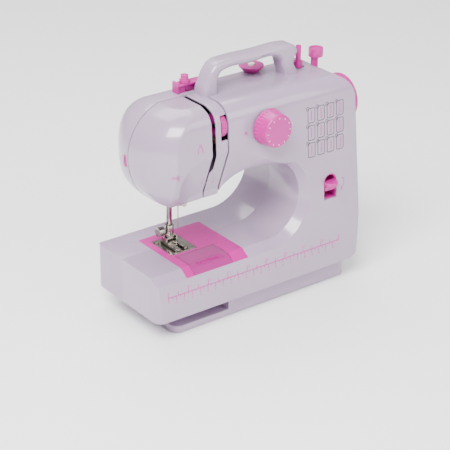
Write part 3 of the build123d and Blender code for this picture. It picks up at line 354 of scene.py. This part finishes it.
grip = handleMesh()
for polygon in grip.polygons:
    polygon.use_smooth = True
gripForm = bmesh.new()
gripForm.from_mesh(grip)
bmesh.ops.remove_doubles(gripForm, verts=gripForm.verts, dist=handle["weld"])
bmesh.ops.recalc_face_normals(gripForm, faces=gripForm.faces)
gripForm.to_mesh(grip)
gripForm.free()
gripPiece = addObject("carry_handle_rounded", grip, finishes["shell"], "machine")
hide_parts("carry_handle")
print("handle made")

# the leaning front face that carries every print
face = {"tilt": 4, "y": -52 * mm, "height": 51.5 * mm, "lift": 0.03 * mm, "flat": 0.12, "text": 0.03 * mm}


def onFace(x, z):
    # place of a print's own origin on the leaning front face
    tilt = math.radians(face["tilt"])
    y = face["y"] + (z * mm - face["height"]) * math.tan(tilt)
    turn = Matrix.Rotation(math.radians(90) - tilt, 4, "X")
    return Matrix.Translation((x * mm, y - face["lift"], z * mm)) @ turn


def inkLines(name, lines, radius, material, place, body="machine", closed=False):
    curve = bpy.data.curves.new(name + "Line", "CURVE")
    curve.dimensions = "3D"
    for line in lines:
        spline = curve.splines.new("POLY")
        spline.points.add(len(line) - 1)
        for point, (x, y) in zip(spline.points, line):
            point.co = (x * mm, y * mm, 0, 1)
        spline.use_cyclic_u = closed
    curve.bevel_depth = radius * mm
    curve.bevel_resolution = 1
    curve.use_fill_caps = True
    item = bpy.data.objects.new(name + "Draft", curve)
    bpy.context.scene.collection.objects.link(item)
    mesh = meshFrom(item)
    mesh.transform(place @ Matrix.Diagonal((1, 1, face["flat"], 1)))
    return addObject(name, mesh, material, body)


def inkTexts(name, texts, size, material, place, body="machine"):
    form = bmesh.new()
    for words, x, y in texts:
        font = bpy.data.curves.new(name + "Text", "FONT")
        font.body = words
        font.size = size * mm
        font.align_x = "CENTER"
        font.align_y = "CENTER"
        font.extrude = face["text"]
        item = bpy.data.objects.new(name + "Draft", font)
        bpy.context.scene.collection.objects.link(item)
        mesh = meshFrom(item)
        mesh.transform(place @ Matrix.Translation((x * mm, y * mm, 0)))
        form.from_mesh(mesh)
        bpy.data.meshes.remove(mesh)
    joined = bpy.data.meshes.new(name)
    form.to_mesh(joined)
    form.free()
    return addObject(name, joined, material, body)


# ruler on the bed's front: a tree lays out the ticks
ruler = {
    "left": -127.7,
    "height": 51.5,
    "inches": 9,
    "inch": 25.4,
    "centimetres": 22,
    "line": 0.5,
    "tick": 0.85,
    "tall": 7.0,
    "low": 4.2,
    "text": 4.2,
    "ink": 0.06,
    "lowShare": 0.6,  # centimetre ticks against inch ticks
    "lowLong": 1.9,
    "numberShift": 2.6,
    "inchNumber": 5.4,
    "centimetreNumber": -7.0,
    "smallText": 0.8,
}


def tickTree(material):
    tree = bpy.data.node_groups.new("tickRow", "GeometryNodeTree")
    for label, kind in (
        ("Count", "NodeSocketInt"), ("Spacing", "NodeSocketFloat"), ("Width", "NodeSocketFloat"),
        ("Length", "NodeSocketFloat"), ("Long Every", "NodeSocketInt"), ("Long Scale", "NodeSocketFloat"),
        ("Height", "NodeSocketFloat"),
    ):
        tree.interface.new_socket(label, in_out="INPUT", socket_type=kind)
    tree.interface.new_socket("Geometry", in_out="OUTPUT", socket_type="NodeSocketGeometry")
    add = tree.nodes.new
    link = tree.links.new
    inputs = add("NodeGroupInput")
    output = add("NodeGroupOutput")
    row = add("GeometryNodeMeshLine")
    along = add("ShaderNodeCombineXYZ")
    bar = add("GeometryNodeMeshCube")
    barSize = add("ShaderNodeCombineXYZ")
    shift = add("GeometryNodeTransform")
    half = add("ShaderNodeMath")
    half.operation = "MULTIPLY"
    half.inputs[1].default_value = 0.5
    shiftBy = add("ShaderNodeCombineXYZ")
    spread = add("GeometryNodeInstanceOnPoints")
    index = add("GeometryNodeInputIndex")
    rest = add("ShaderNodeMath")
    rest.operation = "MODULO"
    isLong = add("FunctionNodeCompare")
    isLong.data_type = "FLOAT"
    isLong.operation = "LESS_THAN"
    isLong.inputs[1].default_value = 0.5
    pick = add("GeometryNodeSwitch")
    pick.input_type = "FLOAT"
    pick.inputs["False"].default_value = 1.0
    scale = add("ShaderNodeCombineXYZ")
    setInput(scale, "X", 1.0)
    setInput(scale, "Z", 1.0)
    realize = add("GeometryNodeRealizeInstances")
    paint = add("GeometryNodeSetMaterial")
    paint.inputs["Material"].default_value = material
    link(inputs.outputs["Count"], row.inputs["Count"])
    link(inputs.outputs["Spacing"], along.inputs["X"])
    link(along.outputs["Vector"], row.inputs["Offset"])
    link(inputs.outputs["Width"], barSize.inputs["X"])
    link(inputs.outputs["Length"], barSize.inputs["Y"])
    link(inputs.outputs["Height"], barSize.inputs["Z"])
    link(barSize.outputs["Vector"], bar.inputs["Size"])
    link(inputs.outputs["Length"], half.inputs[0])
    link(half.outputs[0], shiftBy.inputs["Y"])
    link(bar.outputs["Mesh"], shift.inputs["Geometry"])
    link(shiftBy.outputs["Vector"], shift.inputs["Translation"])
    link(row.outputs["Mesh"], spread.inputs["Points"])
    link(shift.outputs["Geometry"], spread.inputs["Instance"])
    link(index.outputs["Index"], rest.inputs[0])
    link(inputs.outputs["Long Every"], rest.inputs[1])
    link(rest.outputs[0], isLong.inputs[0])
    link(isLong.outputs["Result"], pick.inputs["Switch"])
    link(inputs.outputs["Long Scale"], pick.inputs["True"])
    link(pick.outputs["Output"], scale.inputs["Y"])
    link(scale.outputs["Vector"], spread.inputs["Scale"])
    link(spread.outputs["Instances"], realize.inputs["Geometry"])
    link(realize.outputs["Geometry"], paint.inputs["Geometry"])
    link(paint.outputs["Geometry"], output.inputs["Geometry"])
    return tree


def tickRow(tree, name, values, place, material, body="machine"):
    item = bpy.data.objects.new(name + "Draft", bpy.data.meshes.new(name + "Seed"))
    bpy.context.scene.collection.objects.link(item)
    modifier = item.modifiers.new("ticks", "NODES")
    modifier.node_group = tree
    for socket in tree.interface.items_tree:
        if socket.in_out == "INPUT" and socket.name in values:
            modifier[socket.identifier] = values[socket.name]
    mesh = meshFrom(item)
    mesh.transform(place)
    return addObject(name, mesh, material, body)


ticks = tickTree(pinkInk)
rulerPlace = onFace(ruler["left"], ruler["height"])
underPlace = rulerPlace @ Matrix.Rotation(math.radians(180), 4, "X")
tickRow(
    ticks,
    "ruler_inch_ticks",
    {
        "Count": ruler["inches"] * 2 + 1,
        "Spacing": ruler["inch"] / 2 * mm,
        "Width": ruler["tick"] * mm,
        "Length": ruler["low"] * mm,
        "Long Every": 2,
        "Long Scale": ruler["tall"] / ruler["low"],
        "Height": ruler["ink"] * mm,
    },
    rulerPlace,
    pinkInk,
)
tickRow(
    ticks,
    "ruler_centimetre_ticks",
    {
        "Count": ruler["centimetres"] * 2 + 1,
        "Spacing": 5 * mm,
        "Width": ruler["tick"] * mm,
        "Length": ruler["low"] * ruler["lowShare"] * mm,
        "Long Every": 2,
        "Long Scale": ruler["lowLong"],
        "Height": ruler["ink"] * mm,
    },
    underPlace,
    pinkInk,
)
rulerLength = ruler["inches"] * ruler["inch"]
inkLines("ruler_line", [[(0, 0), (rulerLength, 0)]], ruler["line"], pinkInk, rulerPlace)
inchTexts = [
    (str(n), n * ruler["inch"] + ruler["numberShift"], ruler["inchNumber"]) for n in range(1, ruler["inches"])
]
centimetreTexts = [
    (str(n), n * 10, ruler["centimetreNumber"]) for n in range(1, ruler["centimetres"] + 1)
]
inkTexts("ruler_inch_numbers", inchTexts, ruler["text"], pinkInk, rulerPlace)
smallText = ruler["text"] * ruler["smallText"]
inkTexts("ruler_centimetre_numbers", centimetreTexts, smallText, pinkInk, rulerPlace)
print("ruler printed")

# stitch chart on the column
chart = {
    "left": 59.0,
    "top": 211.5,
    "columns": 4,
    "rows": 3,
    "boxWidth": 9.3,
    "boxHeight": 16.0,
    "stepX": 13.1,
    "stepZ": 19.2,
    "outline": 0.4,
    "stitch": 0.52,
    "corner": 1.6,
    "ring": 2.0,
    "ringLine": 0.3,
    "ringShift": (-0.4, 0.1),
    "number": 2.9,
    "stitchAt": 0.52,  # share of the box's width
    "stitchTop": 2.6,
    "swings": (0.0, 0.9, 1.5, 2.1),
}


def boxOutline(x, z, width, height, corner):
    points = []
    for cx, cz, start in (
        (x + width - corner, z - corner, 90), (x + corner, z - corner, 180),
        (x + corner, z - height + corner, 270), (x + width - corner, z - height + corner, 360),
    ):
        for step in range(5):
            angle = math.radians(start - 90 + step * 22.5)
            points.append((cx + corner * math.cos(angle), cz + corner * math.sin(angle)))
    return points


def circlePoints(x, z, radius, count=16):
    angles = [2 * math.pi * n / count for n in range(count)]
    return [(x + radius * math.cos(angle), z + radius * math.sin(angle)) for angle in angles]


def stitchLine(kind, x, z, height):
    # straight, zigzag and shell stitches of growing width
    steps = 8 + 2 * (kind % 4)
    swing = chart["swings"][kind % 4]
    points = []
    for n in range(steps + 1):
        side = swing if n % 2 else -swing
        if kind >= 8 and n % 4 == 0:
            side = swing * 0.2
        points.append((x + side, z - height * n / steps))
    return points


chartPlace = onFace(chart["left"], chart["top"])
ringX, ringZ = chart["ringShift"]
frames, rings, seams, numbers = [], [], [], []
for row in range(chart["rows"]):
    for column in range(chart["columns"]):
        x = column * chart["stepX"]
        z = -row * chart["stepZ"]
        kind = row * chart["columns"] + column
        frames.append(boxOutline(x, z, chart["boxWidth"], chart["boxHeight"], chart["corner"]))
        rings.append(circlePoints(x + ringX, z + ringZ, chart["ring"]))
        numbers.append((str(kind + 1), x + ringX, z + ringZ))
        stitchX = x + chart["boxWidth"] * chart["stitchAt"]
        seams.append(stitchLine(kind, stitchX, z - chart["stitchTop"], chart["boxHeight"] - 5))
inkLines("chart_boxes", frames, chart["outline"], greyInk, chartPlace, closed=True)
inkLines("chart_rings", rings, chart["ringLine"], greyInk, chartPlace, closed=True)
inkLines("chart_stitches", seams, chart["stitch"], pinkInk, chartPlace)
inkTexts("chart_numbers", numbers, chart["number"], greyInk, chartPlace)
print("chart printed")

# stitch dial: ring of marks on the cap and the pointer beside it
dial = {"marks": 12, "markInner": 13.6, "markOuter": 15.2, "mark": 0.34, "lift": 0.02 * mm}
dialLow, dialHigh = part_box("stitch_dial")
dialMiddle = (dialLow + dialHigh) / 2
dialFront = Matrix.Translation((dialMiddle.x, dialLow.y - dial["lift"], dialMiddle.z))
dialPlace = dialFront @ Matrix.Rotation(math.radians(90), 4, "X")
dialMarks = []
for n in range(dial["marks"]):
    angle = 2 * math.pi * n / dial["marks"]
    reaches = (dial["markInner"], dial["markOuter"])
    dialMarks.append([(reach * math.cos(angle), reach * math.sin(angle)) for reach in reaches])
inkLines("dial_marks", dialMarks, dial["mark"], paleInk, dialPlace, "stitch_selector")

# small pictograms beside the controls: where each stands and how thick its line is
marks = {
    "pointerAt": (-22.9, 204.5),
    "pointerLine": 0.8,
    "arrowAt": (104.5, 117),
    "arrowLine": 0.45,
    "threadAt": (-80.5, 200),
    "threadLine": 0.45,
    "cutterAt": (-111, 177),
    "bladeLine": 0.3,
    "ringLine": 0.26,
    "leftArrowAt": (-71, 160),
    "rightArrowAt": (-56, 157),
    "downLine": 0.28,
}
pointer = [[(-1.3, 1.6), (1.6, 0), (-1.3, -1.6)]]
inkLines("dial_pointer", pointer, marks["pointerLine"], pinkInk, onFace(*marks["pointerAt"]), closed=True)
lockArrow = [
    [(0, 6), (2.6, 6), (4.0, 4.4), (4.0, 0), (2.6, -4.5), (-0.4, -6)],
    [(1.4, -4.1), (-0.4, -6), (1.6, -7.4)],
]
inkLines("reverse_arrow", lockArrow, marks["arrowLine"], pinkInk, onFace(*marks["arrowAt"]))
threadMark = [
    [(-2.6, -3.6), (-2.9, 1.2), (-1.4, 3.4), (0.8, 3.8), (2.5, 1.8), (2.9, -3.0)],
    circlePoints(0.4, 5.0, 1.1, 10),
]
inkLines("thread_mark", threadMark, marks["threadLine"], pinkInk, onFace(*marks["threadAt"]))


def onSkin(nodeName, x, z, lift=0.06):
    # place of a mark lying on the curved front of a moulding
    skin = nodes[nodeName]
    corners = [skin.matrix_world @ vertex.co for vertex in skin.data.vertices]
    faces = [polygon.vertices for polygon in skin.data.polygons]
    skinTree = BVHTree.FromPolygons(corners, faces)
    point, normal, _, _ = skinTree.ray_cast((x * mm, -0.2, z * mm), (0, 1, 0))
    sideways = Vector((0, 0, 1)).cross(normal).normalized()
    upwards = normal.cross(sideways)
    turn = Matrix((sideways, upwards, normal)).transposed().to_4x4()
    return Matrix.Translation(point + normal * lift * mm) @ turn


cutterMark = [
    [(-3.2, 1.6), (2.6, -1.0)],
    [(-3.2, -1.6), (2.6, 1.0)],
]
cutterRings = [circlePoints(3.6, -1.5, 1.2, 10), circlePoints(3.6, 1.5, 1.2, 10)]
cutterPlace = onSkin("head_cover", *marks["cutterAt"])
inkLines("cutter_blades_mark", cutterMark, marks["bladeLine"], pinkInk, cutterPlace)
inkLines("cutter_rings_mark", cutterRings, marks["ringLine"], pinkInk, cutterPlace, closed=True)
downArrow = [[(0, 4), (0, -3.4)], [(-1.6, -1.4), (0, -3.6), (1.6, -1.4)]]
leftPlace = onSkin("head_cover", *marks["leftArrowAt"])
rightPlace = onSkin("tension_cover", *marks["rightArrowAt"])
inkLines("strip_arrow_left", downArrow, marks["downLine"], pinkInk, leftPlace)
inkLines("strip_arrow_right", downArrow, marks["downLine"], pinkInk, rightPlace)
print("pictograms printed")

# finger grip and outline of the clear bobbin cover
coverGrip = {
    "ribs": 15,
    "spacing": 1.9,
    "rib": 0.9,
    "length": 3.6,
    "y": -42.0,
    "rise": 0.7,
    "edge": 1.6,
    "front": -48,
    "halfWidth": 17,
    "gripFront": -44,
    "gripRear": -36,
    "outline": 0.22,
    "gripLine": 0.2,
    "lift": 0.02 * mm,
}
lidLow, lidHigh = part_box("bobbin_cover")
lidMiddle = (lidLow.x + lidHigh.x) / 2
gripLeft = lidMiddle - (coverGrip["ribs"] - 1) / 2 * coverGrip["spacing"] * mm
tickRow(
    ticks,
    "cover_grip_ribs",
    {
        "Count": coverGrip["ribs"],
        "Spacing": coverGrip["spacing"] * mm,
        "Width": coverGrip["rib"] * mm,
        "Length": coverGrip["length"] * mm,
        "Long Every": 1,
        "Long Scale": 1.0,
        "Height": coverGrip["rise"] * mm,
    },
    Matrix.Translation((gripLeft, coverGrip["y"] * mm, lidHigh.z)),
    finishes["pink"],
    "bobbin_lid",
)
lidPlace = Matrix.Translation((0, 0, lidHigh.z + coverGrip["lift"]))
lidEdge = coverGrip["edge"]
left, right, rear = lidLow.x / mm + lidEdge, lidHigh.x / mm - lidEdge, lidHigh.y / mm - lidEdge
front, gripFront, gripRear = coverGrip["front"], coverGrip["gripFront"], coverGrip["gripRear"]
boxLeft = lidMiddle / mm - coverGrip["halfWidth"]
boxRight = lidMiddle / mm + coverGrip["halfWidth"]
lidBox = [(left, front), (left, rear), (right, rear), (right, front)]
gripBox = [(boxLeft, gripFront), (boxRight, gripFront), (boxRight, gripRear), (boxLeft, gripRear)]
inkLines("cover_outline", [lidBox], coverGrip["outline"], greyInk, lidPlace, "bobbin_lid")
inkLines(
    "cover_grip_outline",
    [gripBox],
    coverGrip["gripLine"],
    greyInk,
    lidPlace,
    "bobbin_lid",
    closed=True,
)
print("bobbin cover detailed")

# bent wire guide of the needle bar
wire = {"thick": 0.75, "reach": 13.5, "rise": 5.5}
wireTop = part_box("needle_thread_guide")[1].z
barLow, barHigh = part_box("needle_bar")
barMiddle = (barLow + barHigh) / 2
wireRoot = Vector((barLow.x, barMiddle.y, wireTop - 1 * mm))
wireCurve = bpy.data.curves.new("wireLine", "CURVE")
wireCurve.dimensions = "3D"
wireSpline = wireCurve.splines.new("NURBS")
wireSteps = (
    (0.5, 0.0, 0.0), (-5.5, -0.5, -1.0), (-9.0, -0.5, -2.5), (-wire["reach"] + 1, -0.5, -1.0),
    (-wire["reach"], 0.0, wire["rise"] / 2), (-wire["reach"] - 1, 0.5, wire["rise"]),
)
wireSpline.points.add(len(wireSteps) - 1)
for point, (dx, dy, dz) in zip(wireSpline.points, wireSteps):
    point.co = (wireRoot.x + dx * mm, wireRoot.y + dy * mm, wireRoot.z + dz * mm, 1)
wireSpline.order_u = 3
wireSpline.use_endpoint_u = True
wireSpline.resolution_u = 8
wireCurve.bevel_depth = wire["thick"] * mm
wireCurve.bevel_resolution = 4
wireCurve.use_fill_caps = True
wireDraft = bpy.data.objects.new("wireDraft", wireCurve)
bpy.context.scene.collection.objects.link(wireDraft)
wireMesh = meshFrom(wireDraft)
for polygon in wireMesh.polygons:
    polygon.use_smooth = True
wirePiece = addObject("needle_wire", wireMesh, finishes["plated"], "needle_carrier")
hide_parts("needle_thread_guide")
print("wire guide made")

# thumb flap of the reverse lever, as wide as its arched window
flap = {
    "wider": 2.6 * mm,
    "thick": 4.4 * mm,
    "root": 3 * mm,
    "steps": 14,
    "roundness": 0.7,
    "reach": 0.8,
    "bevel": 1.1 * mm,
    "cornerAngle": 0.9,  # radians, a sharper corner gets the bevel
    "stemAt": 11 * mm,
    "stemDeep": 8 * mm,
    "stemGap": 0.8 * mm,
    "stemLower": 2 * mm,
}


def flapMesh():
    low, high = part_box("reverse_lever")
    middle, half = (low.x + high.x) / 2, (high.x - low.x) / 2 + flap["wider"] / 2
    form = bmesh.new()
    lower, upper = [], []
    root = high.y - flap["root"]
    outline = [(middle + half, root)]
    for step in range(flap["steps"] + 1):
        angle = math.pi * step / flap["steps"]
        reach = (root - low.y) * math.sin(angle) ** flap["roundness"] if 0 < step < flap["steps"] else 0
        outline.append((middle + half * math.cos(angle), root - flap["root"] - reach * flap["reach"]))
    outline.append((middle - half, root))
    for x, y in outline:
        lower.append(form.verts.new((x, y, high.z - flap["thick"])))
        upper.append(form.verts.new((x, y, high.z)))
    form.faces.new(upper)
    form.faces.new(list(reversed(lower)))
    for n in range(len(outline)):
        after = (n + 1) % len(outline)
        form.faces.new((lower[n], lower[after], upper[after], upper[n]))
    bmesh.ops.recalc_face_normals(form, faces=form.faces)
    rim = [edge for edge in form.edges if edge.calc_face_angle(0) > flap["cornerAngle"]]
    bmesh.ops.bevel(form, geom=rim, offset=flap["bevel"], segments=3, profile=0.5, affect="EDGES")
    # body under the flap that fills the window
    stem = bmesh.ops.create_cube(form, size=1)["verts"]
    centre = Vector((middle, low.y + flap["stemAt"], (low.z + high.z - flap["stemLower"]) / 2))
    stemSize = Vector(
        ((half - flap["stemGap"]) * 2, flap["stemDeep"], high.z - low.z - flap["stemLower"])
    )
    for vert in stem:
        vert.co = centre + vert.co * stemSize
    mesh = bpy.data.meshes.new("reverse_flap")
    form.to_mesh(mesh)
    form.free()
    for polygon in mesh.polygons:
        polygon.use_smooth = True
    return mesh


flapPiece = addObject("reverse_flap", flapMesh(), finishes["pink"], "reverse")
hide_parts("reverse_lever")
addCreases(flapPiece, cadFinish["creaseAngle"])
print("reverse flap made")

# floor, lights and camera
studio = {
    "floor": 6.0,
    "key": 105,
    "fill": 26,
    "rim": 30,
    "world": 0.62,
    "cameraAt": (-0.9236, -1.1816, 0.8163),
    "azimuth": -37.51,
    "elevation": 26.231,
    "roll": 0.80,
    "lens": 124.0,
    "keyAt": (-1.1, -0.7, 1.7),
    "keySize": (1.3, 1.0),
    "fillAt": (0.9, -1.9, 1.1),
    "fillSize": (1.6, 1.2),
    "rimAt": (0.2, 0.9, 1.8),
    "rimSize": (1.6, 1.0),
    "aim": (0, 0, 0.12),
    "rimAim": (0, 0, 0.15),
}
floorForm = bmesh.new()
bmesh.ops.create_grid(floorForm, x_segments=1, y_segments=1, size=studio["floor"])
floorMesh = bpy.data.meshes.new("floor")
floorForm.to_mesh(floorMesh)
floorForm.free()
floor = bpy.data.objects.new("floor", floorMesh)
bpy.context.scene.collection.objects.link(floor)
floorWhite = mouldedPlastic("floor_white", (0.97, 0.97, 0.97), (0.96, 0.96, 0.965), rough=0.6, grain=0.0)
floorMesh.materials.append(floorWhite)


def areaLight(name, place, target, size, power):
    light = bpy.data.lights.new(name, "AREA")
    light.shape = "RECTANGLE"
    light.size, light.size_y = size
    light.energy = power
    item = bpy.data.objects.new(name, light)
    bpy.context.scene.collection.objects.link(item)
    item.location = place
    item.rotation_euler = (Vector(target) - Vector(place)).to_track_quat("-Z", "Y").to_euler()
    return item


areaLight("keyLight", studio["keyAt"], studio["aim"], studio["keySize"], studio["key"])
areaLight("fillLight", studio["fillAt"], studio["aim"], studio["fillSize"], studio["fill"])
areaLight("topLight", studio["rimAt"], studio["rimAim"], studio["rimSize"], studio["rim"])
world = bpy.data.worlds.new("studio")
bpy.context.scene.world = world
world.use_nodes = True
sky = world.node_tree.nodes["Background"]
setInput(sky, "Color", (1, 1, 1, 1))
setInput(sky, "Strength", studio["world"])

azimuth, elevation, roll = (math.radians(studio[key]) for key in ("azimuth", "elevation", "roll"))
level = math.cos(elevation)
back = Vector((math.sin(azimuth) * level, -math.cos(azimuth) * level, math.sin(elevation)))
right = Vector((math.cos(azimuth), math.sin(azimuth), 0))
up = back.cross(right)
rolledRight = right * math.cos(roll) + up * math.sin(roll)
rolledUp = up * math.cos(roll) - right * math.sin(roll)
camera = bpy.data.objects.new("camera", bpy.data.cameras.new("camera"))
bpy.context.scene.collection.objects.link(camera)
camera.data.lens = studio["lens"]
turn = Matrix((rolledRight, rolledUp, back)).transposed().to_4x4()
camera.matrix_world = Matrix.Translation(studio["cameraAt"]) @ turn
camera.data.clip_end = 30
bpy.context.scene.camera = camera
print("studio ready")
